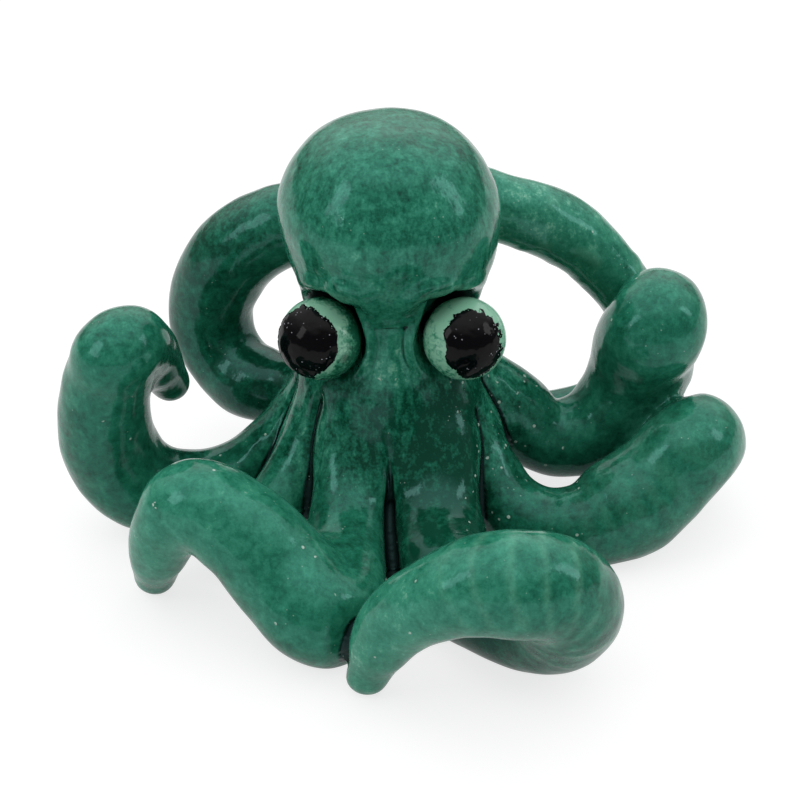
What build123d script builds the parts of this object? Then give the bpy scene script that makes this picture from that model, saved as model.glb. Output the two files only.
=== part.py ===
from build123d import *
from math import cos, radians, sin
import os

# A hand-built glazed clay octopus that stands by itself on a table.
# Millimetres. The body's axis is Z, the table is z = 0, and the face looks along -Y.
# Left and right are those of a viewer who looks at the face.

# Body: a rounded pot that stands on its flat foot.
foot_radius = 17.5
belly_radius = 24.5
belly_height = 38.0
flank_share = 0.93  # of the belly's radius, a third of the way up to it
neck_radius = 21.0
neck_height = 60.5

# Head: a ball that sits on the neck, on a seam that is higher at the face.
head_radius = 25.8
head_centre_height = 79.6
head_top_height = 104.8
seam_tilt = 9.5  # degrees
seam_rounding = 2.0
brow_radius = 8.0
brow_spread = 14.0
brow_overhang = 2.2

# Eyes: balls pressed into the seam, each with a black pupil and a lid on its nose side.
eye_radius = 9.8
eye_spread = 32.9
eye_offset = 0.45  # how far the pair sits to the right of the nose
eye_forward = 17.2
eye_drop = 2.3  # below the seam at the body's axis
pupil_radius = 7.8
pupil_thickness = 0.4
left_gaze_turn = 28.0  # degrees away from the nose
right_gaze_turn = 13.5
gaze_lift = 21.0
lid_thickness = 2.4
lid_height = 2.2
lid_gap = 0.8

# Arms: coils of clay. Reach is the furthest middle of the coil from the axis, rise is
# the height of its top bend, and girth is its greatest thickness.
arm_gap = 0.7
root_height = 30.0
rear_right_lift = 5.0
front_left_reach, front_left_rise, front_left_girth = 70.0, 30.0, 24.6
front_right_reach, front_right_rise, front_right_girth = 80.0, 35.5, 23.8
right_reach, right_rise, right_girth = 78.0, 24.0, 24.8
rear_right_reach, rear_right_rise, rear_right_girth = 66.0, 51.0, 23.8
back_right_reach, back_right_rise, back_right_girth = 76.0, 68.0, 17.4
back_left_reach, back_left_rise, back_left_girth = 60.0, 66.0, 20.8
left_reach, left_rise, left_girth = 70.0, 55.5, 22.4
side_left_reach, side_left_rise, side_left_girth = 53.0, 20.0, 16.6

# Where a coil leaves the pot: distance from the axis as a share of the belly's radius,
# and height as a share of the root's height.
root_shares = [(0.43, 1.40), (0.63, 1.20), (0.81, 1.0)]

# A coil is rounded at its end like this, ahead and across as shares of its radius there,
# and after a fold it starts this much thinner, inside the rounded end before it.
tip_shares = [(0.5, 0.866), (0.82, 0.572), (0.97, 0.243)]
fold_share = 0.75

# The bends of each coil after its root: across and along the table as shares of its
# reach, height as a share of its rise, thickness as a share of its girth. A coil that
# folds sharply is two runs, and the second starts where the first ends.
front_left_root_shares = [0.53, 0.57, 0.65]
front_left_shares = [
    [
        (-0.14, -0.33, 0.67, 0.75),
        (-0.15, -0.47, 0.42, 0.79),
        (-0.165, -0.66, 0.33, 0.88),
        (-0.20, -0.84, 0.35, 0.96),
    ],
    [
        (-0.345, -0.755, 0.58, 1.0),
        (-0.485, -0.69, 0.87, 0.92),
        (-0.635, -0.65, 1.0, 0.81),
    ],
    [
        (-0.73, -0.64, 0.85, 0.675),
        (-0.775, -0.605, 0.50, 0.52),
        (-0.79, -0.55, 0.16, 0.40),
    ],
]
front_right_root_shares = [0.71, 0.84, 0.90]
front_right_shares = [
    [
        (0.14, -0.29, 0.56, 0.92),
        (0.15, -0.41, 0.35, 0.93),
        (0.195, -0.575, 0.30, 0.97),
        (0.295, -0.71, 0.30, 0.96),
        (0.41, -0.795, 0.365, 1.0),
        (0.48, -0.875, 0.635, 1.0),
        (0.445, -0.955, 0.89, 0.96),
        (0.33, -0.995, 1.0, 0.95),
        (0.23, -0.995, 0.985, 0.87),
        (0.14, -0.975, 0.87, 0.765),
        (0.045, -0.945, 0.68, 0.69),
        (-0.02, -0.925, 0.42, 0.59),
        (-0.06, -0.905, 0.135, 0.43),
    ],
]
right_root_shares = [0.60, 0.65, 0.66]
right_shares = [
    [
        (0.29, -0.17, 0.82, 0.70),
        (0.405, -0.255, 0.46, 0.765),
        (0.565, -0.285, 0.39, 0.84),
        (0.73, -0.265, 0.45, 0.95),
        (0.86, -0.22, 0.67, 1.0),
        (0.94, -0.17, 1.0, 0.985),
    ],
    [
        (1.0, -0.05, 0.83, 0.81),
        (1.0, 0.065, 0.56, 0.69),
        (0.92, 0.14, 0.24, 0.48),
    ],
]
rear_right_root_shares = [0.59, 0.63, 0.67]
rear_right_shares = [
    [
        (0.455, 0.035, 0.53, 0.72),
        (0.59, 0.03, 0.39, 0.81),
        (0.725, 0.055, 0.355, 0.92),
        (0.855, 0.085, 0.45, 0.98),
        (0.94, 0.10, 0.65, 1.0),
        (0.975, 0.055, 0.86, 0.99),
        (0.985, 0.015, 1.0, 0.96),
    ],
    [
        (1.0, 0.18, 0.94, 0.80),
        (1.0, 0.27, 0.725, 0.59),
    ],
]
back_right_root_shares = [0.86, 0.92, 0.94]
back_right_shares = [
    [
        (0.21, 0.30, 0.32, 0.94),
        (0.395, 0.34, 0.12, 0.92),
        (0.605, 0.335, 0.11, 0.92),
        (0.79, 0.38, 0.175, 0.92),
        (0.895, 0.435, 0.355, 0.94),
        (0.855, 0.435, 0.56, 0.94),
        (0.735, 0.455, 0.735, 0.94),
        (0.58, 0.46, 0.89, 1.0),
        (0.395, 0.43, 0.97, 1.0),
        (0.225, 0.46, 1.0, 0.965),
        (0.08, 0.50, 0.90, 0.75),
    ],
]
back_left_root_shares = [0.67, 0.77, 0.80]
back_left_shares = [
    [
        (-0.37, 0.285, 0.355, 0.81),
        (-0.565, 0.365, 0.26, 0.84),
        (-0.735, 0.49, 0.305, 0.92),
        (-0.81, 0.585, 0.50, 1.0),
        (-0.735, 0.56, 0.76, 0.99),
        (-0.565, 0.515, 0.93, 0.97),
        (-0.35, 0.50, 1.0, 0.91),
        (-0.135, 0.615, 0.94, 0.67),
    ],
]
left_root_shares = [0.67, 0.71, 0.71]
left_shares = [
    [
        (-0.40, -0.045, 0.36, 0.74),
        (-0.54, -0.085, 0.205, 0.80),
        (-0.72, -0.12, 0.17, 0.90),
        (-0.88, -0.145, 0.225, 0.98),
        (-0.98, -0.15, 0.395, 1.0),
        (-0.98, -0.195, 0.65, 0.955),
        (-0.94, -0.22, 0.865, 0.93),
        (-0.88, -0.245, 1.0, 0.875),
    ],
    [
        (-0.81, -0.155, 0.935, 0.74),
        (-0.78, -0.065, 0.80, 0.61),
        (-0.77, 0.02, 0.63, 0.45),
    ],
]
side_left_root_shares = [0.84, 0.90, 0.96]
side_left_shares = [
    [
        (-0.415, -0.285, 1.0, 0.99),
        (-0.53, -0.415, 0.60, 1.0),
        (-0.70, -0.50, 0.39, 0.99),
        (-0.83, -0.52, 0.68, 0.84),
        (-0.87, -0.49, 1.0, 0.66),
    ],
]

os.makedirs("parts", exist_ok=True)


def coil_runs(azimuth, root_girth_shares, run_shares, reach, rise, girth, lift=0):
    """The runs of one coil, each a list of (point, radius) from its start to its end."""
    bends = []
    for (out_share, up_share), girth_share in zip(root_shares, root_girth_shares):
        out = out_share * belly_radius
        point = Vector(
            out * cos(radians(azimuth)),
            out * sin(radians(azimuth)),
            up_share * root_height + lift,
        )
        bends.append((point, girth_share * girth / 2))
    runs = []
    for shares in run_shares:
        for across, along, up, thick in shares:
            bends.append((Vector(across * reach, along * reach, up * rise), thick * girth / 2))
        runs.append(bends)
        bends = bends[-1:]
    return runs


def section_planes(points):
    """A plane square to the smooth line through the points at each of them, untwisted."""
    with BuildLine(mode=Mode.PRIVATE) as middle:
        Spline(*points)
    line = middle.edges()[0]
    across = Vector(0, 0, 1).cross(line.tangent_at(points[0]))
    planes = []
    for point in points:
        ahead = line.tangent_at(point)
        across = (across - ahead * across.dot(ahead)).normalized()
        planes.append(Plane(origin=point, x_dir=across, z_dir=ahead))
    return planes


def coil(runs, spare=0):
    """One coil of clay: a tapering loft for each run, rounded where it folds or ends."""
    with BuildPart() as clay:
        for start_share, run in zip([1] + [fold_share] * len(runs), runs):
            planes = section_planes([point for point, radius in run])
            radii = [radius + spare for point, radius in run]
            with BuildPart(mode=Mode.PRIVATE) as length:
                with BuildSketch(planes[0]):
                    Circle(radii[0] * start_share)
                for plane, radius in zip(planes[1:], radii[1:]):
                    with BuildSketch(plane):
                        Circle(radius)
                for ahead_share, round_share in tip_shares:
                    with BuildSketch(planes[-1].offset(radii[-1] * ahead_share)):
                        Circle(radii[-1] * round_share)
                loft()
            add(length.part)
    return clay.part


def gaze(side, turn):
    """The direction that an eye looks in, with side -1 on the left and 1 on the right."""
    return Vector(
        side * sin(radians(turn)) * cos(radians(gaze_lift)),
        -cos(radians(turn)) * cos(radians(gaze_lift)),
        sin(radians(gaze_lift)),
    )


seam = Plane(
    origin=(0, 0, neck_height),
    z_dir=(0, sin(radians(seam_tilt)), cos(radians(seam_tilt))),
)
brow_forward = neck_radius + 2 * brow_overhang
brow_height = neck_height + brow_forward * sin(radians(seam_tilt)) + brow_radius
left_eye_centre = Vector(eye_offset - eye_spread / 2, -eye_forward, neck_height - eye_drop)
right_eye_centre = Vector(eye_offset + eye_spread / 2, -eye_forward, neck_height - eye_drop)

# Eyeballs.
with BuildPart() as left_eyeball:
    with Locations(left_eye_centre):
        Sphere(eye_radius)
left_eyeball.part.label = "left_eyeball"

with BuildPart() as right_eyeball:
    with Locations(right_eye_centre):
        Sphere(eye_radius)
right_eyeball.part.label = "right_eyeball"

# The head is turned from half an outline, cut along the seam and rounded there. Two
# brow swellings meet over the nose, and each socket clears the pupil on its eyeball.
with BuildPart() as head:
    with BuildSketch(Plane.XZ):
        with BuildLine():
            Line((0, seam.origin.Z - head_radius), (0, head_top_height))
            Spline(
                (0, head_top_height),
                (head_radius, head_centre_height),
                (neck_radius + brow_overhang, (neck_height + head_centre_height) / 2),
                (neck_radius, seam.origin.Z - head_radius),
                tangents=[(1, 0), (0, -1)],
            )
            Line((neck_radius, seam.origin.Z - head_radius), (0, seam.origin.Z - head_radius))
        make_face()
    revolve(axis=Axis.Z)
    split(bisect_by=seam, keep=Keep.TOP)
    fillet(head.faces().sort_by(Axis.Z)[0].edges(), seam_rounding)
    with Locations(
        (-brow_spread / 2, brow_radius - brow_forward, brow_height),
        (brow_spread / 2, brow_radius - brow_forward, brow_height),
    ):
        Sphere(brow_radius)
    with Locations(left_eye_centre, right_eye_centre):
        Sphere(eye_radius + pupil_thickness, mode=Mode.SUBTRACT)
head.part.label = "head"

# The body is a pot with a flat foot, closed at the seam, with the lower half of each
# eye socket in its rim.
with BuildPart() as body:
    with BuildSketch(Plane.XZ):
        with BuildLine():
            Line((0, 0), (foot_radius, 0))
            Spline(
                (foot_radius, 0),
                (belly_radius * flank_share, belly_height / 3),
                (belly_radius, belly_height),
                (neck_radius, neck_height),
                tangents=[(0.7, 0.7), (0, 1)],
            )
            Line((neck_radius, neck_height), (neck_radius, neck_height + neck_radius))
            Line((neck_radius, neck_height + neck_radius), (0, neck_height + neck_radius))
            Line((0, neck_height + neck_radius), (0, 0))
        make_face()
    revolve(axis=Axis.Z)
    split(bisect_by=seam, keep=Keep.BOTTOM)
    add(left_eyeball.part, mode=Mode.SUBTRACT)
    add(right_eyeball.part, mode=Mode.SUBTRACT)
body.part.label = "body"


def pupil(centre, direction):
    """A thin round cap of black glaze on an eyeball."""
    depth = (eye_radius**2 - pupil_radius**2) ** 0.5
    with BuildPart() as cap:
        with Locations(centre):
            Sphere(eye_radius + pupil_thickness)
            Sphere(eye_radius, mode=Mode.SUBTRACT)
        split(bisect_by=Plane(origin=centre + direction * depth, z_dir=direction), keep=Keep.TOP)
    return cap.part


with BuildPart() as left_pupil:
    add(pupil(left_eye_centre, gaze(-1, left_gaze_turn)))
left_pupil.part.label = "left_pupil"

with BuildPart() as right_pupil:
    add(pupil(right_eye_centre, gaze(1, right_gaze_turn)))
right_pupil.part.label = "right_pupil"


def lid(centre, side):
    """A ridge of clay on the face under the seam, round the nose side of an eyeball."""
    socket_radius = eye_radius + lid_gap
    with BuildPart() as ridge:
        with Locations(centre):
            Sphere(socket_radius + lid_thickness)
            Sphere(socket_radius, mode=Mode.SUBTRACT)
        with Locations((0, 0, neck_height)):
            Cylinder(neck_radius + lid_height, 2 * head_radius, mode=Mode.INTERSECT)
        split(bisect_by=Plane(origin=centre, z_dir=(-side, 0, 0)), keep=Keep.TOP)
        split(bisect_by=seam, keep=Keep.BOTTOM)
    return ridge.part


with BuildPart() as left_eyelid:
    add(lid(left_eye_centre, -1))
    add(left_eyeball.part, mode=Mode.SUBTRACT)
    add(head.part, mode=Mode.SUBTRACT)
    add(body.part, mode=Mode.SUBTRACT)
left_eyelid.part.label = "left_eyelid"

with BuildPart() as right_eyelid:
    add(lid(right_eye_centre, 1))
    add(right_eyeball.part, mode=Mode.SUBTRACT)
    add(head.part, mode=Mode.SUBTRACT)
    add(body.part, mode=Mode.SUBTRACT)
right_eyelid.part.label = "right_eyelid"

# Arms. Each is cut by the pot that it grows from and by the coils pressed on before it.
front_right_runs = coil_runs(
    -55, front_right_root_shares, front_right_shares,
    front_right_reach, front_right_rise, front_right_girth,
)
front_left_runs = coil_runs(
    -120, front_left_root_shares, front_left_shares,
    front_left_reach, front_left_rise, front_left_girth,
)
right_runs = coil_runs(
    -24, right_root_shares, right_shares, right_reach, right_rise, right_girth,
)
rear_right_runs = coil_runs(
    8, rear_right_root_shares, rear_right_shares,
    rear_right_reach, rear_right_rise, rear_right_girth, lift=rear_right_lift,
)
back_right_runs = coil_runs(
    60, back_right_root_shares, back_right_shares,
    back_right_reach, back_right_rise, back_right_girth,
)
back_left_runs = coil_runs(
    130, back_left_root_shares, back_left_shares,
    back_left_reach, back_left_rise, back_left_girth,
)
left_runs = coil_runs(
    177, left_root_shares, left_shares, left_reach, left_rise, left_girth,
)
side_left_runs = coil_runs(
    208, side_left_root_shares, side_left_shares,
    side_left_reach, side_left_rise, side_left_girth,
)

with BuildPart() as arm_front_right:
    add(coil(front_right_runs))
    split(bisect_by=Plane.XY, keep=Keep.TOP)
    add(body.part, mode=Mode.SUBTRACT)
arm_front_right.part.label = "arm_front_right"

with BuildPart() as arm_front_left:
    add(coil(front_left_runs))
    split(bisect_by=Plane.XY, keep=Keep.TOP)
    add(body.part, mode=Mode.SUBTRACT)
    add(coil(front_right_runs, spare=arm_gap), mode=Mode.SUBTRACT)
arm_front_left.part.label = "arm_front_left"

with BuildPart() as arm_right:
    add(coil(right_runs))
    split(bisect_by=Plane.XY, keep=Keep.TOP)
    add(body.part, mode=Mode.SUBTRACT)
    add(coil(front_right_runs, spare=arm_gap), mode=Mode.SUBTRACT)
arm_right.part.label = "arm_right"

with BuildPart() as arm_rear_right:
    add(coil(rear_right_runs))
    split(bisect_by=Plane.XY, keep=Keep.TOP)
    add(body.part, mode=Mode.SUBTRACT)
    add(coil(right_runs, spare=arm_gap), mode=Mode.SUBTRACT)
arm_rear_right.part.label = "arm_rear_right"

with BuildPart() as arm_left:
    add(coil(left_runs))
    split(bisect_by=Plane.XY, keep=Keep.TOP)
    add(body.part, mode=Mode.SUBTRACT)
arm_left.part.label = "arm_left"

with BuildPart() as arm_side_left:
    add(coil(side_left_runs))
    split(bisect_by=Plane.XY, keep=Keep.TOP)
    add(body.part, mode=Mode.SUBTRACT)
    add(coil(front_left_runs, spare=arm_gap), mode=Mode.SUBTRACT)
    add(coil(left_runs, spare=arm_gap), mode=Mode.SUBTRACT)
arm_side_left.part.label = "arm_side_left"

with BuildPart() as arm_back_right:
    add(coil(back_right_runs))
    split(bisect_by=Plane.XY, keep=Keep.TOP)
    add(body.part, mode=Mode.SUBTRACT)
    add(head.part, mode=Mode.SUBTRACT)
    add(coil(rear_right_runs, spare=arm_gap), mode=Mode.SUBTRACT)
arm_back_right.part.label = "arm_back_right"

with BuildPart() as arm_back_left:
    add(coil(back_left_runs))
    split(bisect_by=Plane.XY, keep=Keep.TOP)
    add(body.part, mode=Mode.SUBTRACT)
    add(head.part, mode=Mode.SUBTRACT)
    add(coil(left_runs, spare=arm_gap), mode=Mode.SUBTRACT)
    add(coil(back_right_runs, spare=arm_gap), mode=Mode.SUBTRACT)
arm_back_left.part.label = "arm_back_left"

# Write each piece to its own file.
export_step(head.part, "parts/head.step")
export_step(body.part, "parts/body.step")
export_step(left_eyeball.part, "parts/left_eyeball.step")
export_step(right_eyeball.part, "parts/right_eyeball.step")
export_step(left_pupil.part, "parts/left_pupil.step")
export_step(right_pupil.part, "parts/right_pupil.step")
export_step(left_eyelid.part, "parts/left_eyelid.step")
export_step(right_eyelid.part, "parts/right_eyelid.step")
export_step(arm_front_right.part, "parts/arm_front_right.step")
export_step(arm_front_left.part, "parts/arm_front_left.step")
export_step(arm_right.part, "parts/arm_right.step")
export_step(arm_rear_right.part, "parts/arm_rear_right.step")
export_step(arm_left.part, "parts/arm_left.step")
export_step(arm_side_left.part, "parts/arm_side_left.step")
export_step(arm_back_right.part, "parts/arm_back_right.step")
export_step(arm_back_left.part, "parts/arm_back_left.step")
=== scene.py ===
"""A hand-built octopus in green glaze: one skin of clay, cut into its named pieces.

Lengths are in millimetres, and MM makes metres of them. The octopus stands on z = 0 and looks
along -Y. Left and right are those of a viewer who looks at its face.
"""
import logging
import math
from dataclasses import dataclass, field
from enum import Enum
from typing import Optional, Union

import bmesh
import bpy
import numpy as np
from mathutils import Matrix, Vector, noise
from mathutils.bvhtree import BVHTree


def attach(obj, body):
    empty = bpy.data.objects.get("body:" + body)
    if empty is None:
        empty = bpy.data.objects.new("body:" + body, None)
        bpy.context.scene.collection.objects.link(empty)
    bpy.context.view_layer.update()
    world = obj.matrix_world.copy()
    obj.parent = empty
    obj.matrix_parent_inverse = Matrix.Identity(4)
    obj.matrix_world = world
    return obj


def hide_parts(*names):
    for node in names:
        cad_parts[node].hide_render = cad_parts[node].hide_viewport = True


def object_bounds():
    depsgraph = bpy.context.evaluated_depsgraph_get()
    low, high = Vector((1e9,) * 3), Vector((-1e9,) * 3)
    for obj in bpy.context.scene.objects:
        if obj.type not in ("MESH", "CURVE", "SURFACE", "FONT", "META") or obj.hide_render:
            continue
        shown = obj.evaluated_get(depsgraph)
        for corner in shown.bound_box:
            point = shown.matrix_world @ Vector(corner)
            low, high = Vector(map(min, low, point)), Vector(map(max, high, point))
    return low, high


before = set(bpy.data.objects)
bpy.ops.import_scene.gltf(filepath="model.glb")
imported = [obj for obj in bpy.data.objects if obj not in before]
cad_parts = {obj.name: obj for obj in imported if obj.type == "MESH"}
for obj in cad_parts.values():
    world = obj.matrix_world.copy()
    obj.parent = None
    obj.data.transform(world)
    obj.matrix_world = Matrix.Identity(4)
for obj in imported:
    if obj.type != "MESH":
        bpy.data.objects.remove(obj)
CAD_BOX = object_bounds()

LOG = logging.getLogger("octopus")
MM = 0.001
GRAIN = 0.55  # the size of the skin's faces
SWELL = 0.35  # what the smoothing takes off a coil
EYE_RADIUS = 9.8
EYES = {"left": (-16.0, -17.2, 58.2), "right": (17.5, -17.2, 58.2)}
BALL_SPLITS = 6  # how often the faces of an eye's ball are split
TINY = 1e-6
SEAM_HEIGHT, SEAM_TILT = 60.5, math.radians(9.5)
HEAD_HEIGHT, HEAD_RADIUS = 80.8, 25.8

Array = np.ndarray
Stop = tuple[float, float, float, float]
Edge = tuple[float, float]  # a soft step: where it is 0, and where it is 1
Lumps = tuple[float, float]  # soft noise: the size of a lump, and a shift that makes it differ
Profile = tuple[tuple[float, float], ...]  # a turned shape: heights, and the radius at each
Colour = tuple[float, float, float, float]

POT: Profile = (
    (0.0, 17.5), (4.0, 20.3), (12.7, 22.8), (25.0, 24.2), (38.0, 24.5), (50.0, 23.2), (60.5, 21.0),
    (66.0, 20.0),
)
NECK: Profile = ((56.0, 20.5), (62.0, 21.0), (70.6, 23.2), (HEAD_HEIGHT, HEAD_RADIUS))
SKIRT: Profile = (  # where the coils' roots are pressed together
    (8.0, 0.0), (8.0, 20.0), (10.0, 22.5), (14.0, 26.5), (18.0, 29.6), (22.0, 30.6), (26.0, 29.4),
    (30.0, 27.6), (34.0, 26.0), (38.0, 24.8), (44.0, 23.6), (50.0, 22.0), (50.0, 0.0),
)


class Part(Enum):
    """What a stretch of the skin belongs to, besides the coils."""

    HEAD = "head"
    BODY = "body"
    LEFT_LID = "left_eyelid"
    RIGHT_LID = "right_eyelid"


def smooth(edge: Edge, values: Array) -> Array:
    """A soft step.

    Args:
        edge: where it is 0, and where it is 1.
        values: what it is taken of.

    Returns:
        A share in 0 to 1 for each value.
    """
    start, end = edge
    share = np.clip((values - start) / (end - start), 0.0, 1.0)
    return share * share * (3.0 - 2.0 * share)


def hump(values: Array, middle: float, width: float) -> Array:
    """A bell curve that is 1 at its middle and fades within its width."""
    return np.exp(-(((values - middle) / width) ** 2))


def lumps(points: Array, size: float, shift: float) -> Array:
    """Soft noise in about -1 to 1.

    Args:
        points: places in mm, one row each.
        size: the size of a lump in mm.
        shift: moves the pattern, so that layers differ.

    Returns:
        One value for each point.
    """
    return np.array([noise.noise(Vector(p)) for p in points / size + shift])


def pull(items: bpy.types.bpy_prop_collection, name: str, kind: type, width: int = 1) -> Array:
    """Reads one property of many items at once.

    Args:
        items: vertices, edges or the like.
        name: the property.
        kind: its number type.
        width: how many numbers each item has.

    Returns:
        One number or one row for each item.
    """
    values = np.empty(len(items) * width, kind)
    items.foreach_get(name, values)
    return values if width == 1 else values.reshape(-1, width)


def mesh_from(name: str, shape: bmesh.types.BMesh) -> bpy.types.Mesh:
    """Makes a mesh of a shape, which is then freed."""
    mesh = bpy.data.meshes.new(name)
    shape.to_mesh(mesh)
    shape.free()
    return mesh


def add_object(name: str, data: bpy.types.ID) -> bpy.types.Object:
    """Puts a mesh, a lamp or a camera into the scene."""
    made = bpy.data.objects.new(name, data)
    bpy.context.scene.collection.objects.link(made)
    return made


def apply_modifiers(obj: bpy.types.Object) -> bpy.types.Mesh:
    """The finished mesh of an object, which is then removed with its data.

    Args:
        obj: an object in the scene.

    Returns:
        Its mesh with the modifiers applied.
    """
    graph = bpy.context.evaluated_depsgraph_get()
    mesh = bpy.data.meshes.new_from_object(
        obj.evaluated_get(graph), preserve_all_data_layers=True, depsgraph=graph,
    )
    source = obj.data
    bpy.data.objects.remove(obj)
    (bpy.data.curves if isinstance(source, bpy.types.Curve) else bpy.data.meshes).remove(source)
    return mesh


def join_piece(
    name: str, mesh: bpy.types.Mesh, node: str, material: bpy.types.Material,
) -> bpy.types.Object:
    """Puts a finished mesh into the scene in place of its CAD node.

    Args:
        name: the piece's name.
        mesh: its mesh, in metres, where it belongs.
        node: the CAD node that it stands for.
        material: its glaze.

    Returns:
        The piece.
    """
    mesh.materials.clear()
    mesh.materials.append(material)
    piece = add_object(name, mesh)
    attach(piece, "root")
    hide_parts(node)
    LOG.info("%s: %d faces, stands for %s", name, len(mesh.polygons), node)
    return piece


# Shader maths


@dataclass(frozen=True)
class Mottle:
    """A layer of soft noise in a glaze."""

    size: float  # of a lump
    weight: float = 1.0  # how much lighter its lightest spots are than its darkest
    detail: float = 2.0
    distortion: float = 0.0


@dataclass(frozen=True)
class Spots:
    """Small round spots in the middle of cells, where a wide noise lets them show."""

    cell: float
    rim: Edge  # of a spot, in shares of its cell
    spread: Mottle
    level: Edge  # what the wide noise has to reach


class Shade:
    """A socket of a material, with the arithmetic that the glazes use."""

    def __init__(self, graph: "Graph", socket: bpy.types.NodeSocket) -> None:
        """Keeps the socket and the graph that new nodes go into."""
        self.graph, self.socket = graph, socket

    def _math(self, operation: str, *values: object) -> "Shade":
        """A Math node on this graph."""
        return self.graph.node("ShaderNodeMath", {"operation": operation}, dict(enumerate(values)))

    def __add__(self, other: object) -> "Shade":
        """self + other."""
        return self._math("ADD", self, other)

    def __sub__(self, other: object) -> "Shade":
        """self - other."""
        return self._math("SUBTRACT", self, other)

    def __rsub__(self, other: object) -> "Shade":
        """other - self."""
        return self._math("SUBTRACT", other, self)

    def __mul__(self, other: object) -> "Shade":
        """self * other."""
        return self._math("MULTIPLY", self, other)

    def most(self, other: object) -> "Shade":
        """The larger of the two."""
        return self._math("MAXIMUM", self, other)

    def swing(self, weight: object) -> "Shade":
        """A noise in 0 to 1, moved to lie about 0 and weighted."""
        return (self - 0.5) * weight

    def step(self, start: float, end: float) -> "Shade":
        """A soft step from 0 at start to 1 at end, which may be the smaller."""
        falling = start > end
        return self.graph.node(
            "ShaderNodeMapRange",
            {"interpolation_type": "SMOOTHSTEP"},
            {0: self, 1: min(start, end), 2: max(start, end), 3: float(falling), 4: float(not falling)},
        )


class Graph:
    """The node tree of a material or of the world."""

    def __init__(self, owner: Union[bpy.types.Material, bpy.types.World]) -> None:
        """Empties the owner's node tree.

        Args:
            owner: what the nodes shade.
        """
        owner.use_nodes = True
        self.owner, self.tree = owner, owner.node_tree
        self.tree.nodes.clear()

    def node(self, kind: str, settings: dict, inputs: dict, output: object = 0) -> Shade:
        """Adds a node.

        Args:
            kind: the node's type.
            settings: its own properties, set first.
            inputs: values or links, by socket name or number.
            output: the socket that comes back.

        Returns:
            The chosen output.
        """
        made = self.tree.nodes.new(kind)
        for key, value in settings.items():
            setattr(made, key, value)
        for key, value in inputs.items():
            if isinstance(value, Shade):
                self.tree.links.new(value.socket, made.inputs[key])
            else:
                made.inputs[key].default_value = value
        return Shade(self, made.outputs[output])

    def ramp(self, share: Shade, places: tuple, colours: tuple) -> Shade:
        """A colour ramp.

        Args:
            share: how far along the ramp the surface is.
            places: where the colours lie, from 0 to 1.
            colours: one for each place.

        Returns:
            The colour.
        """
        made = self.tree.nodes.new("ShaderNodeValToRGB")
        stops = made.color_ramp.elements
        while len(stops) > 1:
            stops.remove(stops[0])
        stops[0].position, stops[0].color = places[0], colours[0]
        for place, colour in zip(places[1:], colours[1:]):
            stops.new(place).color = colour
        self.tree.links.new(share.socket, made.inputs["Fac"])
        return Shade(self, made.outputs["Color"])

    def place(self) -> Shade:
        """Object coordinates, in metres."""
        return self.node("ShaderNodeTexCoord", {}, {}, "Object")

    def attribute(self, name: str) -> Shade:
        """A number that the mesh carries."""
        return self.node("ShaderNodeAttribute", {"attribute_name": name}, {}, "Fac")

    def ray(self, kind: str) -> Shade:
        """1 for one kind of light ray and 0 for the others."""
        return self.node("ShaderNodeLightPath", {}, {}, kind)

    def mottle(self, place: Shade, layer: Mottle) -> Shade:
        """A layer of soft noise in 0 to 1."""
        inputs = {
            "Vector": place, "Scale": 1.0 / (layer.size * MM),
            "Detail": layer.detail, "Distortion": layer.distortion,
        }
        return self.node("ShaderNodeTexNoise", {}, inputs)

    def spots(self, place: Shade, kind: Spots, more: Optional[Shade] = None) -> Shade:
        """1 inside small round spots and 0 outside them.

        Args:
            place: where on the surface.
            kind: the spots.
            more: where there are more of them.

        Returns:
            The share that is spot.
        """
        cells = self.node("ShaderNodeTexVoronoi", {}, {"Vector": place, "Scale": 1.0 / (kind.cell * MM)})
        spread = self.mottle(place, kind.spread)
        if more is not None:
            spread = spread + more
        return cells.step(*kind.rim) * spread.step(*kind.level)

    def blend(self, share: object, first: object, second: object) -> Shade:
        """Mixes two colours."""
        return self.node("ShaderNodeMix", {"data_type": "RGBA"}, {0: share, 6: first, 7: second}, 2)

    def bump(self, height: Shade, depth: float, below: Optional[Shade] = None) -> Shade:
        """A bump with its depth in mm, on top of another."""
        inputs: dict = {"Height": height, "Distance": depth * MM, "Strength": 1.0}
        if below is not None:
            inputs["Normal"] = below
        return self.node("ShaderNodeBump", {}, inputs)

    def close(self, shader: Shade, output: str = "ShaderNodeOutputMaterial") -> None:
        """Links the last shader to the owner's output."""
        self.tree.links.new(shader.socket, self.tree.nodes.new(output).inputs["Surface"])

    def finish(self, constants: dict, inputs: dict) -> bpy.types.Material:
        """Closes the graph with a Principled shader.

        Args:
            constants: sockets that are the same all over.
            inputs: sockets that change over the surface.

        Returns:
            The material.
        """
        self.close(self.node("ShaderNodeBsdfPrincipled", {}, {**constants, **inputs}))
        return self.owner


def tone(red: int, green: int, blue: int) -> Colour:
    """A colour as a screen shows it, made linear."""
    parts = [v / 255.0 for v in (red, green, blue)]
    return (*[v / 12.92 if v <= 0.04045 else ((v + 0.055) / 1.055) ** 2.4 for v in parts], 1.0)


def grey(level: float) -> Colour:
    """A linear grey."""
    return (level, level, level, 1.0)


# Glazes


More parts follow.
